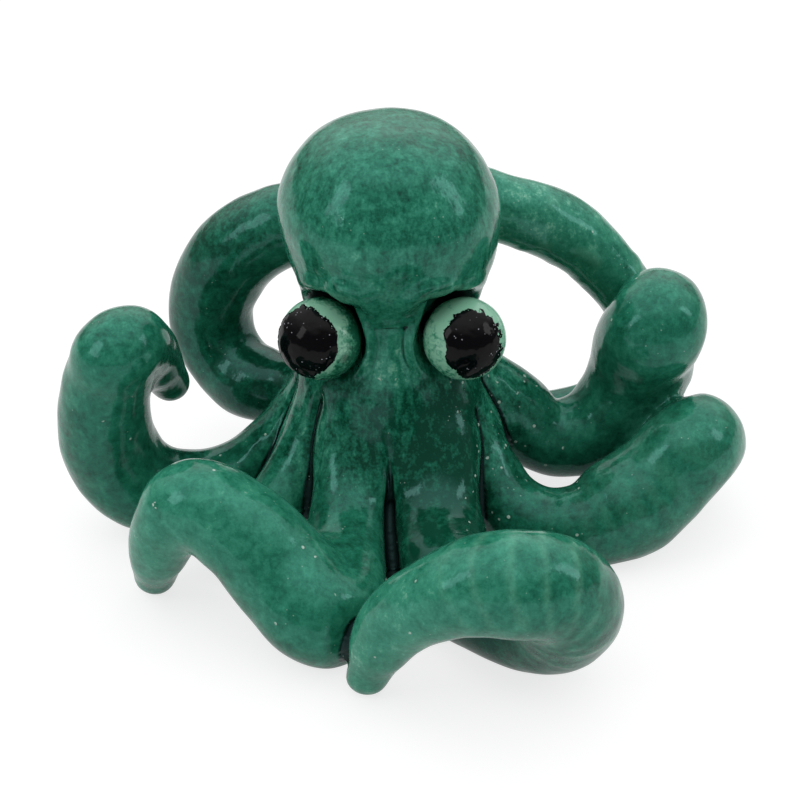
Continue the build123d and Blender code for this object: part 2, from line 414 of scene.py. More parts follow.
@dataclass(frozen=True)
class GreenGlaze:
    """Clear green glaze over pale clay: light where thin, nearly black where it pools and where shade is
    painted in, with painted highlights on its bubbles.
    """

    greens: tuple = (tone(12, 70, 51), tone(36, 119, 93), tone(66, 154, 126), tone(124, 190, 162))
    levels: tuple = (0.10, 0.44, 0.78, 1.0)  # how light the glaze has to be for each green
    # painted shade: nearly black, for pooled glaze and for the shade painted into hollows, slits, creases
    # and round the eyes
    pooled_and_shaded: Colour = tone(3, 6, 7)
    # painted highlight: the near-white colour of the glints on bubbles
    painted_bubble_glint: Colour = tone(200, 225, 212)
    clouds: Mottle = Mottle(14.0, 0.45, 3.0, 0.6)
    patches: Mottle = Mottle(4.5, 0.65, 3.0, 0.4)
    flecks: Mottle = Mottle(1.7, 0.55, 2.0, 0.3)
    grain: Mottle = Mottle(0.7, 0.28)
    specks: Mottle = Mottle(0.32, 0.25, 1.0)
    strokes: Mottle = Mottle(1.5, 0.15, 2.0, 0.5)
    stretch: tuple = (1.0, 1.0, 0.28)  # draws the strokes out upwards
    brushed_grain: float = 0.55  # what brushing adds to the weights of grain and strokes
    brushed_strokes: float = 0.95
    ridge: float = 0.25  # how much lighter a ridge and a press mark are
    mark: float = 0.3
    mark_ground: float = 0.4  # how light a mark is where its grain is darkest
    pool_and_shade_edge: Edge = (0.45, 0.95)
    pool_and_shade_patches: float = 0.35  # how far patches and grain move a pool's edge
    pool_and_shade_grain: float = 0.25
    # painted highlights: near-white spots on the bubbles, which are also raised as bumps, and smaller
    # glints between them
    bubbles_and_glints: Spots = Spots(2.5, (0.20, 0.14), Mottle(6.0, detail=1.0), (0.68, 0.71))
    more_bubbles: float = 0.16
    painted_glints: Spots = Spots(1.5, (0.13, 0.06), Mottle(8.0, detail=1.0), (0.58, 0.66))
    painted_glint: float = 0.6  # how bright a glint is next to a bubble
    spot: float = 0.85  # how much a spot covers
    waves: Mottle = Mottle(6.0, detail=1.0)
    ripples: Mottle = Mottle(1.6, 0.15, 1.0)
    wave_depth: float = 0.25
    bubble_depth: float = 0.12
    stroke_depth: float = 0.05
    roughness: float = 0.10
    grain_roughness: float = 0.08
    dull: float = 0.4  # what the bottom of a deep slit adds
    dull_pool: Edge = (1.0, 1.3)
    refraction: float = 1.5
    glare: Colour = (0.45, 1.0, 0.95, 1.0)

    def make(self) -> bpy.types.Material:
        """Builds the material.

        Returns:
            The glaze of the head, body, lids and arms.
        """
        graph = Graph(bpy.data.materials.new("green_glaze"))
        place = graph.place()
        pale, pool_and_shade, ridge, mark = (graph.attribute(n) for n in ("pale", "pool_and_shade", "ridge", "mark"))
        brush, bubbly = graph.attribute("brush"), graph.attribute("bubbly")
        patches, grain = graph.mottle(place, self.patches), graph.mottle(place, self.grain)
        drawn = graph.node("ShaderNodeMapping", {}, {"Vector": place, "Scale": self.stretch})
        strokes = graph.mottle(drawn, self.strokes)
        light = pale + patches.swing(self.patches.weight) + ridge * self.ridge
        for layer in (self.clouds, self.flecks, self.specks):
            light = light + graph.mottle(place, layer).swing(layer.weight)
        light = light + grain.swing(brush * self.brushed_grain + self.grain.weight)
        light = light + strokes.swing(brush * self.brushed_strokes + self.strokes.weight)
        colour = graph.ramp(light, self.levels, self.greens)
        colour = graph.blend(mark * (grain + self.mark_ground) * self.mark, colour, self.greens[-1])
        # painted shade: where glaze pools and shade falls in hollows and slits, the colour turns nearly
        # black
        ragged = pool_and_shade + patches.swing(self.pool_and_shade_patches) + grain.swing(self.pool_and_shade_grain)
        colour = graph.blend(ragged.step(*self.pool_and_shade_edge), colour, self.pooled_and_shaded)
        # painted highlights: bubbles and glints show as near-white spots in the colour; the bubbles also
        # raise bumps below
        bubbles_and_glints = graph.spots(place, self.bubbles_and_glints, bubbly * self.more_bubbles)
        spots = bubbles_and_glints.most(graph.spots(place, self.painted_glints) * self.painted_glint)
        colour = graph.blend(spots * self.spot, colour, self.painted_bubble_glint)
        waves = graph.mottle(place, self.waves) + graph.mottle(place, self.ripples) * self.ripples.weight
        relief = graph.bump(waves, self.wave_depth)
        relief = graph.bump(bubbles_and_glints, self.bubble_depth, relief)
        relief = graph.bump(strokes, self.stroke_depth, relief)
        rough = grain * self.grain_roughness + self.roughness + pool_and_shade.step(*self.dull_pool) * self.dull
        return graph.finish(
            {"IOR": self.refraction, "Specular Tint": self.glare},
            {"Base Color": colour, "Roughness": rough, "Normal": relief},
        )


@dataclass(frozen=True)
class MintGlaze:
    """Thin mint glaze on an eyeball, streaked round the pupil, with painted light at its top and painted
    shade where the skin meets it.
    """

    mints: tuple = (tone(26, 98, 72), tone(76, 160, 128), tone(152, 212, 182))
    levels: tuple = (0.05, 0.42, 0.85)
    lightness: float = 0.92  # at the pupil's edge
    patches: Mottle = Mottle(2.4, 2.0, 3.0, 0.8)
    grain: Mottle = Mottle(0.6, 1.1)
    rays: float = 0.7
    # painted shade: dark where the skin meets the ball, with pooled glaze
    pooled_and_shaded: Colour = tone(4, 16, 13)
    pool_and_shade_edge: Edge = (0.62, 0.92)
    pool_and_shade_grain: Mottle = Mottle(0.9, 0.5)
    waves: Mottle = Mottle(3.0, detail=1.0)
    wave_depth: float = 0.15
    haze: Mottle = Mottle(2.0, 0.1, 1.0)
    roughness: float = 0.1
    refraction: float = 1.5

    def make(self) -> bpy.types.Material:
        """Builds the material of the eyeballs."""
        graph = Graph(bpy.data.materials.new("mint_glaze"))
        place = graph.place()
        # ring brings painted light: the ball is lighter at its top
        light = self.lightness - graph.attribute("ring") + graph.attribute("rays").swing(self.rays)
        for layer in (self.patches, self.grain):
            light = light + graph.mottle(place, layer).swing(layer.weight)
        colour = graph.ramp(light, self.levels, self.mints)
        pool_and_shade = graph.attribute("pool_and_shade") + graph.mottle(place, self.pool_and_shade_grain).swing(self.pool_and_shade_grain.weight)
        colour = graph.blend(pool_and_shade.step(*self.pool_and_shade_edge), colour, self.pooled_and_shaded)
        rough = graph.mottle(place, self.haze) * self.haze.weight + self.roughness
        relief = graph.bump(graph.mottle(place, self.waves), self.wave_depth)
        return graph.finish(
            {"IOR": self.refraction}, {"Base Color": colour, "Roughness": rough, "Normal": relief},
        )


@dataclass(frozen=True)
class BlackGlaze:
    """Thick black glaze, with pinholes that show painted glints."""

    black: Colour = tone(7, 7, 10)
    # painted highlight: the colour of the glints in the pinholes
    painted_glint: Colour = tone(190, 190, 200)
    pits: Spots = Spots(1.0, (0.2, 0.1), Mottle(3.0, detail=1.0), (0.5, 0.62))
    pit: float = 0.85  # how much of it is glint
    pit_depth: float = 0.1
    waves: Mottle = Mottle(2.5, detail=1.0)
    wave_depth: float = 0.22
    haze: Mottle = Mottle(1.5, 0.08, 1.0)
    roughness: float = 0.07
    refraction: float = 1.24

    def make(self) -> bpy.types.Material:
        """Builds the material of the pupils."""
        graph = Graph(bpy.data.materials.new("black_glaze"))
        place = graph.place()
        pits = graph.spots(place, self.pits)
        # painted highlights in the pinholes
        colour = graph.blend(pits * self.pit, self.black, self.painted_glint)
        rough = graph.mottle(place, self.haze) * self.haze.weight + self.roughness
        relief = graph.bump(graph.mottle(place, self.waves), self.wave_depth)
        relief = graph.bump(pits, self.pit_depth, relief)
        return graph.finish(
            {"IOR": self.refraction}, {"Base Color": colour, "Roughness": rough, "Normal": relief},
        )


# Coils


@dataclass(frozen=True)
class Press:
    """Marks that the maker pressed into a coil, each beside the last."""

    pitch: float
    height: float
    lightness: float = 1.0  # how much of them shows in the glaze
    side: Edge = (-2.0, -1.0)  # how squarely the coil has to face the maker: a cosine, here any

    def pattern(self, along: Array, turn: Array, places: Array) -> tuple[Array, Array]:
        """One kind of marks.

        Args:
            along: how far along the coil each vertex is.
            turn: how squarely it faces the maker.
            places: the vertices.

        Returns:
            How far each vertex is raised and how much it shows, from 0 to 1.
        """
        raise NotImplementedError


@dataclass(frozen=True)
class Scales(Press):
    """Overlapping arcs."""

    bend: float = 0.9  # a share of the pitch
    line: float = 0.11

    def pattern(self, along: Array, turn: Array, places: Array) -> tuple[Array, Array]:
        """Thin arcs, bent round the coil."""
        rows = along / self.pitch + self.bend * (1 - turn)
        arc = hump(rows - np.floor(rows), 0.5, self.line)
        return arc, arc


@dataclass(frozen=True)
class Stripes(Press):
    """Faint rows across the coil."""

    waver: Lumps = (7.0, 5.0)

    def pattern(self, along: Array, turn: Array, places: Array) -> tuple[Array, Array]:
        """Soft waves that waver a little."""
        wave = 0.5 + 0.5 * np.sin(along / self.pitch * 2 * math.pi + lumps(places, *self.waver))
        return wave, wave


@dataclass(frozen=True)
class Dimples(Press):
    """Soft bumps without order."""

    shift: float = 21.0
    raised: Edge = (0.1, 0.6)
    shown: Edge = (0.15, 0.6)

    def pattern(self, along: Array, turn: Array, places: Array) -> tuple[Array, Array]:
        """The tops of soft noise."""
        tops = lumps(places, self.pitch, self.shift)
        return smooth(self.raised, tops), smooth(self.shown, tops)


class Marks(Enum):
    """The kinds of press marks."""

    PLAIN = None
    SCALES = Scales(pitch=4.3, height=0.12, side=(0.1, 0.6))
    STRIPES = Stripes(pitch=5.0, height=0.06, lightness=0.35, side=(0.0, 0.5))
    DIMPLES = Dimples(pitch=5.5, height=0.28)


@dataclass
class Coil:
    """One rolled coil of clay, from inside the pot to its tip."""

    node: str
    route: list[Stop]  # x, y, z and radius
    paleness: float = 0.5
    tip_paleness: float = 0.2
    free: float = 40.0  # how high up the pot its slit begins
    marks: Marks = Marks.PLAIN
    marked: tuple[float, float] = (0.0, 1.0)  # shares of the length
    facing: tuple[float, float, float] = (0.0, -0.5, 1.0)  # where the marks face
    bends: int = 12  # pieces of the smooth line from stop to stop
    roundness: int = 8  # the tube has twice as many sides, and four more
    ball_splits: int = 4

    def line(self, thick: bool) -> bpy.types.Mesh:
        """The coil's smooth line, or its tube.

        Args:
            thick: whether the tube is wanted.

        Returns:
            A mesh in metres.
        """
        curve = bpy.data.curves.new(self.node + "_line", "CURVE")
        curve.dimensions, curve.resolution_u = "3D", self.bends
        spline = curve.splines.new("BEZIER")
        spline.radius_interpolation = "CARDINAL"
        spline.bezier_points.add(len(self.route) - 1)
        for point, (x, y, z, radius) in zip(spline.bezier_points, self.route):
            point.co = Vector((x, y, z)) * MM
            point.radius = (radius + SWELL) * MM
            point.handle_left_type = point.handle_right_type = "AUTO"
        if thick:
            curve.bevel_depth, curve.bevel_resolution, curve.use_fill_caps = 1.0, self.roundness, True
        return apply_modifiers(add_object(self.node + "_line", curve))

    def samples(self) -> tuple[Array, Array, Array]:
        """Points along the middle, their radii and how far along they are."""
        mesh = self.line(thick=False)
        middle = pull(mesh.vertices, "co", float, 3) / MM
        bpy.data.meshes.remove(mesh)
        stops = np.linspace(0, len(self.route) - 1, len(middle))
        radii = np.interp(stops, range(len(self.route)), [stop[3] for stop in self.route])
        steps = np.linalg.norm(np.diff(middle, axis=0), axis=1)
        return middle, radii, np.concatenate([[0.0], np.cumsum(steps)])

    def add_clay(self, clay: bmesh.types.BMesh) -> None:
        """Adds the tube, with a ball at each bend and at both ends."""
        tube = self.line(thick=True)
        clay.from_mesh(tube)
        bpy.data.meshes.remove(tube)
        for x, y, z, radius in self.route:
            bmesh.ops.create_icosphere(
                clay, subdivisions=self.ball_splits, radius=(radius + SWELL) * MM,
                matrix=Matrix.Translation(Vector((x, y, z)) * MM),
            )


def coils() -> list[Coil]:
    """The eight arms, with the routes that they have in the CAD model."""
    return [
        Coil("arm_front_right", [
            (6.0, -8.6, 42.0, 8.4), (8.9, -12.6, 36.0, 10.0), (11.4, -16.3, 30.0, 10.7),
            (11.2, -23.2, 19.9, 10.9), (11.4, -33.2, 12.4, 11.4), (14.5, -46.4, 10.9, 11.9),
            (23.6, -56.8, 10.9, 11.4), (34.8, -65.2, 13.2, 11.8), (38.8, -71.0, 21.6, 12.0),
            (35.6, -76.4, 31.6, 11.4), (26.4, -79.6, 35.5, 11.3), (18.4, -79.6, 35.0, 10.4),
            (11.2, -78.0, 30.9, 9.1), (3.6, -75.6, 24.1, 8.2), (-1.6, -74.0, 14.9, 7.0),
            (-4.8, -72.4, 4.8, 5.1),
        ], paleness=0.1, tip_paleness=0.62, free=39.0,
            marks=Marks.SCALES, marked=(0.5, 0.8), facing=(0.0, -0.6, 0.8),
        ),
        Coil("arm_front_left", [
            (-5.3, -9.1, 42.0, 6.5), (-7.7, -13.4, 36.0, 7.0), (-9.9, -17.2, 30.0, 8.0),
            (-9.6, -23.3, 20.1, 9.6), (-10.0, -33.3, 12.6, 10.3), (-10.9, -46.8, 10.0, 11.2),
            (-14.0, -59.4, 10.6, 12.0), (-24.1, -52.9, 17.4, 12.3), (-33.9, -48.3, 26.4, 11.3),
            (-44.6, -45.3, 31.2, 10.3), (-49.9, -44.6, 26.0, 8.6), (-54.0, -42.2, 15.4, 6.9),
            (-56.2, -38.2, 5.6, 5.2),
        ], paleness=0.41, tip_paleness=0.24, free=39.0),
        Coil("arm_right", [
            (9.6, -4.3, 42.0, 7.4), (14.1, -6.3, 36.0, 8.1), (18.1, -8.1, 30.0, 8.2),
            (22.6, -13.6, 19.6, 8.8), (31.6, -21.4, 10.5, 8.8), (44.1, -24.6, 9.0, 9.6),
            (56.9, -21.2, 12.0, 12.8), (66.6, -16.8, 18.0, 12.4), (74.0, -13.0, 25.4, 11.9),
            (78.0, -3.9, 19.9, 10.2), (78.0, 5.1, 13.4, 8.6), (71.8, 10.9, 5.8, 6.0),
        ], paleness=0.29, tip_paleness=0.26, free=39.0,
            marks=Marks.STRIPES, marked=(0.38, 0.75), facing=(-0.4, -0.6, 0.7),
        ),
        Coil("arm_rear_right", [
            (10.4, 1.5, 47.0, 7.0), (15.3, 2.1, 41.0, 7.5), (19.7, 2.8, 36.0, 8.8),
            (30.0, 3.2, 26.5, 9.9), (38.9, 2.6, 17.3, 9.1), (47.9, 3.4, 17.2, 10.2),
            (57.8, 5.6, 23.6, 11.9), (62.5, 6.6, 33.4, 12.6), (62.9, 3.6, 44.1, 12.4),
            (65.0, 1.0, 51.6, 11.9), (66.0, 11.9, 47.9, 9.5), (66.0, 17.8, 37.0, 7.0),
        ], paleness=0.4, tip_paleness=0.06, free=46.0),
        Coil("arm_back_right", [
            (5.3, 9.1, 42.0, 7.5), (7.7, 13.4, 36.0, 8.0), (9.9, 17.2, 30.0, 8.2),
            (16.0, 22.8, 21.8, 8.2), (30.0, 25.8, 8.2, 8.0), (46.0, 25.5, 7.5, 8.0),
            (60.0, 28.9, 11.9, 8.0), (67.6, 33.1, 24.1, 7.9), (64.4, 33.1, 38.1, 7.7),
            (55.4, 34.6, 49.6, 7.9), (43.8, 34.6, 60.0, 9.0), (29.6, 32.9, 66.3, 8.6),
            (17.1, 34.8, 67.8, 8.9), (6.1, 38.0, 61.2, 6.5),
        ], paleness=0.42, tip_paleness=0.32,
            marks=Marks.DIMPLES, marked=(0.5, 0.95), facing=(0.1, -1.0, -0.1),
        ),
        Coil("arm_back_left", [
            (-6.8, 8.1, 42.0, 7.0), (-9.9, 11.8, 36.0, 8.0), (-12.8, 15.2, 30.0, 8.3),
            (-22.2, 17.1, 24.2, 7.8), (-33.7, 21.9, 20.8, 9.8), (-42.4, 28.6, 23.0, 10.0),
            (-47.4, 33.6, 33.6, 10.9), (-43.2, 32.8, 49.2, 11.3), (-33.6, 30.9, 60.0, 10.9),
            (-21.0, 30.0, 65.0, 9.9), (-8.1, 36.9, 62.0, 7.0),
        ], paleness=0.16, tip_paleness=0.16),
        Coil("arm_left", [
            (-10.5, 0.6, 42.0, 7.5), (-15.4, 0.8, 36.0, 8.0), (-19.8, 1.0, 30.0, 8.0),
            (-28.0, -3.1, 20.0, 8.3), (-37.8, -6.0, 11.4, 9.0), (-50.4, -8.6, 9.2, 9.7),
            (-61.9, -11.0, 12.3, 11.4), (-68.4, -11.2, 22.0, 11.7), (-68.9, -13.7, 36.1, 11.1),
            (-66.2, -15.2, 47.3, 10.3), (-62.8, -16.4, 54.8, 9.5), (-59.4, -9.0, 50.8, 8.0),
            (-57.2, -3.6, 43.5, 6.7), (-54.9, 1.2, 34.9, 5.0),
        ], paleness=0.34, tip_paleness=0.1),
        Coil("arm_side_left", [
            (-9.3, -4.9, 42.0, 7.0), (-13.6, -7.2, 36.0, 7.5), (-17.5, -9.3, 30.0, 8.0),
            (-22.0, -15.1, 20.0, 8.2), (-28.1, -22.0, 12.0, 8.3), (-37.1, -26.5, 7.8, 8.2),
            (-44.0, -27.6, 13.6, 7.0), (-46.1, -26.0, 20.0, 5.5),
        ], paleness=0.37, tip_paleness=0.2, free=44.0),
    ]


# Skin


@dataclass(frozen=True)
class Thumbs:
    """Where the maker's thumbs pushed the head out of round."""

    height: Edge = (60.0, 64.0)
    reach: Edge = (34.0, 29.0)  # from the axis
    brow_height: Edge = (80.0, 68.0)
    brow_front: Edge = (-6.0, -14.0)
    brow_side: Edge = (2.5, 9.0)
    brow_end: Edge = (11.0, 20.0)
    brow_fade: float = 0.80  # a share, lost towards its outer end
    brow_lifts: tuple[float, float] = (4.0, 4.8)  # left and right
    crown_height: Edge = (82.0, 98.0)
    side_squeeze: tuple[float, float] = (0.08, 0.115)  # shares, left and right
    squeeze: tuple[float, float] = (0.11, 0.06)  # shares, front and back
    cheek_height: float = 70.0
    cheek_size: float = 8.0
    cheek_side: Edge = (6.0, 20.0)
    cheek_bulge: float = 1.6

    def push(self, places: Array) -> Array:
        """Lifts the brows off the eyes, draws the crown in and fills one cheek.

        Args:
            places: the vertices.

        Returns:
            The vertices where the thumbs left them.
        """
        x, y, z = places.T.copy()
        head = smooth(self.height, z) * smooth(self.reach, np.hypot(x, y))
        brow = head * smooth(self.brow_height, z) * smooth(self.brow_front, y)
        brow = brow * smooth(self.brow_side, np.abs(x))
        brow = brow * (1.0 - self.brow_fade * smooth(self.brow_end, np.abs(x)))
        crown = smooth(self.crown_height, z)
        cheek = head * hump(z, self.cheek_height, self.cheek_size) * smooth(self.cheek_side, x)
        return np.stack([
            x * (1.0 - crown * np.where(x > 0, *self.side_squeeze[::-1])) + self.cheek_bulge * cheek,
            y * (1.0 - crown * np.where(y > 0, *self.squeeze[::-1])),
            z + brow * np.where(x > 0, *self.brow_lifts[::-1]),
        ], axis=1)


@dataclass(frozen=True)
class Slits:
    """The slits between the coils, where the second nearest coil is about as near as the nearest."""

    reach: Edge = (6.0, 3.0)  # how near the second coil has to be
    pot: Edge = (36.0, 30.0)  # from the axis: here they end below the coil's free height
    fade: float = 3.0
    waver: Lumps = (8.0, 2.0)
    dip: float = 0.8  # a wide dip, and the slit in its middle
    dip_width: float = 4.5
    depth: float = 2.0
    width: float = 0.65
    foot_width: float = 0.5  # how much wider they are at the foot
    foot: Edge = (36.0, 12.0)
    rim_place: float = 3.2  # beside the slit
    rim_width: float = 1.5
    rounds: int = 6  # of smoothing in a slit
    rounded: float = 1.5  # how far its sides are smoothed with it


@dataclass(frozen=True)
class Socket:
    """The clay round an eyeball, by the distance from the ball, the way to the nose and the way up."""

    groove: float = 0.7  # the channel round the ball
    groove_width: float = 0.95
    groove_inside: float = -2.5
    hood: float = 0.9  # the clay that stands over the ball
    hood_place: float = 4.0
    hood_width: float = 2.0
    hood_up: Edge = (0.0, 4.0)
    hood_outer: Edge = (-9.0, -3.0)
    hood_inner: Edge = (9.0, 5.5)
    rim: float = 1.5  # the ridge on the nose side
    rim_places: tuple = (("left", 2.1), ("right", 3.0))
    rim_width: float = 0.7
    rim_side: Edge = (1.5, 4.5)
    rim_foot: Edge = (-9.5, -5.0)
    rim_top: Edge = (7.0, 3.0)
    crease: float = 0.4  # the crease behind that ridge
    crease_place: float = 1.9
    crease_width: float = 0.6
    lid_reach: tuple[float, float] = (0.9, 3.4)  # the stretch that is the eyelid's
    lid_side: float = 1.0
    lid_front: float = -14.0
    lid_foot: float = -9.0

    def relief(self, side: str, beyond: Array, nose: Array, up: Array) -> tuple[Array, Array]:
        """The shape of the clay round one ball.

        Args:
            side: which eye.
            beyond: how far outside the ball each vertex is.
            nose: how far towards the nose.
            up: how far above the ball's middle.

        Returns:
            How far the skin stands out, and where the crease is.
        """
        out = np.maximum(beyond, 0)
        groove = self.groove * hump(out, 0.0, self.groove_width) * (beyond > self.groove_inside)
        hood = self.hood * hump(out, self.hood_place, self.hood_width) * smooth(self.hood_up, up)
        hood = hood * smooth(self.hood_outer, nose) * smooth(self.hood_inner, nose)
        inner = smooth(self.rim_side, nose) * smooth(self.rim_foot, up) * smooth(self.rim_top, up)
        rim = dict(self.rim_places)[side]
        behind = rim + self.crease_place
        ridge = self.rim * hump(out, rim, self.rim_width) - self.crease * hump(out, behind, self.rim_width)
        return hood - groove + inner * ridge, inner * hump(out, behind, self.crease_width)

    def lid(self, beyond: Array, nose: Array, up: Array) -> Array:
        """Which vertices round one ball are the eyelid's, but for the head and the back."""
        near, far = self.lid_reach
        return (beyond > near) & (beyond < far) & (nose > self.lid_side) & (up > self.lid_foot)


@dataclass(frozen=True)
class Bridge:
    """The crease between the eyes, where head and body meet."""

    below_seam: float = 1.2
    width: float = 0.5
    front: Edge = (-14.0, -19.0)
    middle: float = 1.0
    side: Edge = (6.5, 1.5)
    depth: float = 0.6

    def crease(self, above: Array, places: Array) -> Array:
        """Where the crease is, by the height above the seam."""
        across = smooth(self.side, np.abs(places[:, 0] - self.middle))
        return hump(above, -self.below_seam, self.width) * smooth(self.front, places[:, 1]) * across


@dataclass(frozen=True)
class PoolsAndShade:
    """Where glaze pools and where shade is painted into hollows, slits, creases and round the eyes. A
    depth of 1 is nearly black.
    """

    fine_rounds: int = 8  # of smoothing, against which small hollows show
    broad_rounds: int = 50
    fine: float = 0.22  # a small hollow this deep counts once
    broad: float = 1.1
    fine_share: float = 0.5
    broad_share: float = 0.3
    most_counts: float = 2.0  # a hollow counts no more often than this
    # painted shade in the channel round each ball, deeper at its top under the brow
    eye: Edge = (1.0, 0.2)  # beyond the ball, on the side to the nose and the top
    eye_side: Edge = (-4.0, 2.0)
    eye_depth: float = 0.66  # and what the top has more
    eye_top_shade_depth: float = 0.34
    eye_top: Edge = (-1.0, 3.0)
    # painted shade under each brow
    brow: Edge = (2.7, 1.2)  # beyond the ball, where the skin faces down on it
    brow_tilt: Edge = (0.0, -0.5)
    brow_up: Edge = (-2.0, 1.0)
    brow_shade_depth: float = 1.2
    # painted shade in the slits, in the creases behind the nose-side ridges and in the crease between the
    # eyes
    slit_depth: float = 1.25
    crease_depth: float = 0.22
    bridge_depth: float = 0.4
    right_arms: Edge = (44.0, 54.0)  # where the arms lie on each other with no dark seam
    right_arms_share: float = 0.65
    deepest: float = 1.4


@dataclass(frozen=True)
class Paleness:
    """How thin the glaze is, from 0 at its darkest green to 1 at its palest."""

    tip: Edge = (0.35, 0.95)  # shares of a coil's length
    off_coil: float = 1.5  # beyond this the skin is the pot's or the head's
    pot: float = 0.30
    head: float = 0.16  # more than the pot
    head_height: Edge = (58.0, 66.0)
    root: float = 0.04  # less, where the coils leave the pot
    root_reach: Edge = (40.0, 26.0)
    root_height: Edge = (64.0, 52.0)
    face: float = 0.40  # more, between the eyes
    face_front: Edge = (-12.0, -17.0)
    face_middle: float = 1.0
    face_side: Edge = (9.0, 5.0)
    face_foot: Edge = (44.0, 50.0)
    face_top: Edge = (62.0, 58.0)
    rounds: int = 40  # of smoothing
    rim: float = 0.22  # more, on the rims of the slits
    ridge: float = 1.6  # a broad ridge this high is fully pale
    ridge_start: float = 0.3
    head_brush: float = 0.55  # how brushed the head is next to the roots
    # where the bubbles, with their painted highlights, crowd
    bubbly_side: Edge = (11.0, 16.0)
    bubbly_reach: Edge = (50.0, 42.0)
    bubbly_height: Edge = (56.0, 50.0)


@dataclass
class Skin:
    """The clay as one skin over the pot, the head and the coils, and the pieces it is cut into."""

    arms: list[Coil] = field(default_factory=coils)
    thumbs: Thumbs = Thumbs()
    slits: Slits = Slits()
    socket: Socket = Socket()
    bridge: Bridge = Bridge()
    pools_and_shade: PoolsAndShade = PoolsAndShade()
    paleness: Paleness = Paleness()
    merge: float = 0.002  # two corners of a CAD mesh this near are one
    weld: float = 0.0001  # and so are two of the clay that is joined
    skirt_steps: int = 72
    press: int = 14  # rounds of smoothing all over
    blend: int = 110  # rounds where the coils are pressed onto the pot
    blend_share: float = 0.9
    blend_foot: Edge = (19.0, 31.0)
    blend_top: Edge = (66.0, 60.0)
    blend_reach: Edge = (43.0, 33.0)
    settle: int = 2  # rounds after the relief
    wobble: float = 0.45
    wobble_lumps: Lumps = (17.0, 3.1)
    wobble_drop: float = 0.1
    dent: float = 0.16
    dent_lumps: Lumps = (6.0, 11.7)
    inside_box: float = 0.02  # how far the skin stays inside the CAD model's box
    far: float = 30.0  # a gap that counts as none near
    near: float = -6.0  # gaps are only shared out between these two
    wide: float = 8.0
    share_rounds: int = 5
    reach: float = 4.0  # how far round a coil its gap is measured
    chunk: int = 20000  # vertices measured at once
    steep: float = 4.0  # how sharply head and body part at the seam
    mark_reach: Edge = (3.0, 1.5)
    mark_fade: float = 0.06  # a share of the length
    lip: float = 0.5  # how far a piece's rim turns in
    lip_rows: int = 2

    def rough(self) -> bpy.types.Mesh:
        """Joins the lumps of clay and wraps them in even faces.

        Returns:
            The skin in metres.
        """
        clay = bmesh.new()
        for node in ("head", "body"):
            lump = bmesh.new()
            lump.from_mesh(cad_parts[node].data)
            bmesh.ops.remove_doubles(lump, verts=lump.verts, dist=self.merge * MM)
            solid = mesh_from(node + "_lump", lump)
            clay.from_mesh(solid)
            bpy.data.meshes.remove(solid)
        line = [clay.verts.new((wide * MM, 0.0, high * MM)) for high, wide in SKIRT]
        edges = [clay.edges.new(pair) for pair in zip(line, line[1:])]
        bmesh.ops.spin(
            clay, geom=line + edges, cent=(0, 0, 0), axis=(0, 0, 1), dvec=(0, 0, 0),
            angle=2 * math.pi, steps=self.skirt_steps, use_merge=True,
        )
        bmesh.ops.remove_doubles(clay, verts=clay.verts, dist=self.weld * MM)
        for arm in self.arms:
            arm.add_clay(clay)
        obj = add_object("rough", mesh_from("rough", clay))
        wrap = obj.modifiers.new("wrap", "REMESH")
        wrap.mode, wrap.voxel_size, wrap.adaptivity = "VOXEL", GRAIN * MM, 0.0
        skin = apply_modifiers(obj)
        LOG.info("skin: %d faces", len(skin.polygons))
        return skin

    def shape(self, mesh: bpy.types.Mesh) -> None:
        """Smooths, lumps and marks the skin, and stores what the glaze and the cutting need.

        Args:
            mesh: the skin, changed in place.
        """
        self.mesh, self.count = mesh, len(mesh.vertices)
        self.ends = pull(mesh.edges, "vertices", np.int64, 2)
        self.degree = np.bincount(self.ends.ravel(), minlength=self.count).astype(float)
        places = self.thumbs.push(pull(mesh.vertices, "co", float, 3) / MM)
        places = self.relax(places, self.press)
        out, z = np.hypot(places[:, 0], places[:, 1]), places[:, 2]
        pressed = smooth(self.blend_foot, z) * smooth(self.blend_reach, out) * smooth(self.blend_top, z)
        places = self.relax(places, self.blend, pressed[:, None] * self.blend_share)
        normals = self.normals(places)
        self.measure(places)
        places = places + normals * self.relief(places)[:, None]
        places = self.relax(places, self.settle)
        slit = np.clip(self.slit * self.slits.rounded, 0, 1)
        places = self.relax(places, self.slits.rounds, slit[:, None])
        low, high = (np.array(corner) / MM for corner in CAD_BOX)
        places = np.clip(places, low + self.inside_box, high - self.inside_box)
        self.store_glaze(places, self.normals(places))
        self.share_out()

    def relax(self, values: Array, rounds: int, weight: Union[float, Array] = 1.0) -> Array:
        """Moves each value towards its neighbours' mean.

        Args:
            values: one row for each vertex.
            rounds: how often.
            weight: how far, in all or for each vertex.

        Returns:
            The smoothed values.
        """
        first, second = self.ends.T
        for _ in range(rounds):
            total = np.stack([
                np.bincount(first, row[second], self.count) + np.bincount(second, row[first], self.count)
                for row in values.T
            ], axis=1)
            values = values + (total / self.degree[:, None] - values) * weight
        return values

    def normals(self, places: Array) -> Array:
        """Puts the vertices in place, in mm, and returns the skin's normals there."""
        self.mesh.vertices.foreach_set("co", (places * MM).ravel())
        self.mesh.update()
        return pull(self.mesh.vertex_normals, "vector", np.float32, 3).astype(float)

    def measure(self, places: Array) -> None:
        """Finds how far each vertex is from every lump of clay.

        Args:
            places: the vertices.
        """
        self.gap = np.full((self.count, len(self.arms) + len(Part)), self.far)
        self.along = np.zeros((self.count, len(self.arms)))
        self.turn = np.zeros((self.count, len(self.arms)))
        self.length = np.zeros(len(self.arms))
        for number, arm in enumerate(self.arms):
            self.measure_coil(places, number, arm)
        self.measure_pot(places)

